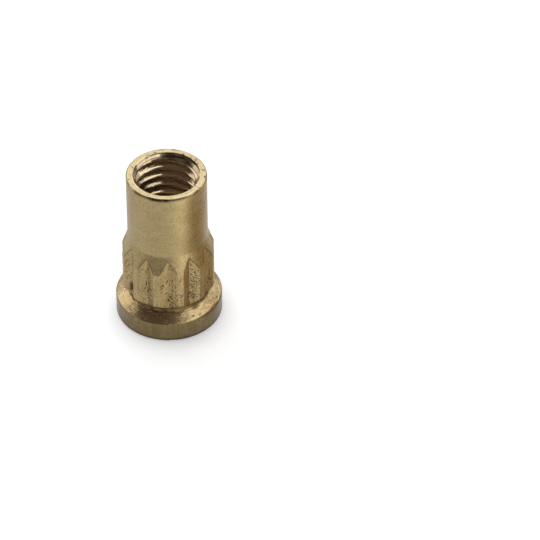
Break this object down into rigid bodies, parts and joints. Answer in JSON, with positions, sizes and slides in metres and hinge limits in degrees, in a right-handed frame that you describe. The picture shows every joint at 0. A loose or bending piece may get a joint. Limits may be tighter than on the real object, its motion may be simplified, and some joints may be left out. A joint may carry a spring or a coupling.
{
  "type": "sleeve nut",
  "caption": "Blind internally threaded brass sleeve with a splined collar that grips a drilled hole and a flat round head that stops at its rim.",
  "frame": {"origin": "centre of the head's outer face, which the nut stands on", "axes": "+Z along the sleeve's axis, from the head to the mouth; one flute points 1.5 degrees from -Y"},
  "size_m": [0.008, 0.008, 0.013],
  "materials": {
    "brass": "satin, as turned"
  },
  "bodies": {
    "root": {"sleeve_nut": "brass"}
  },
  "joints": []
}
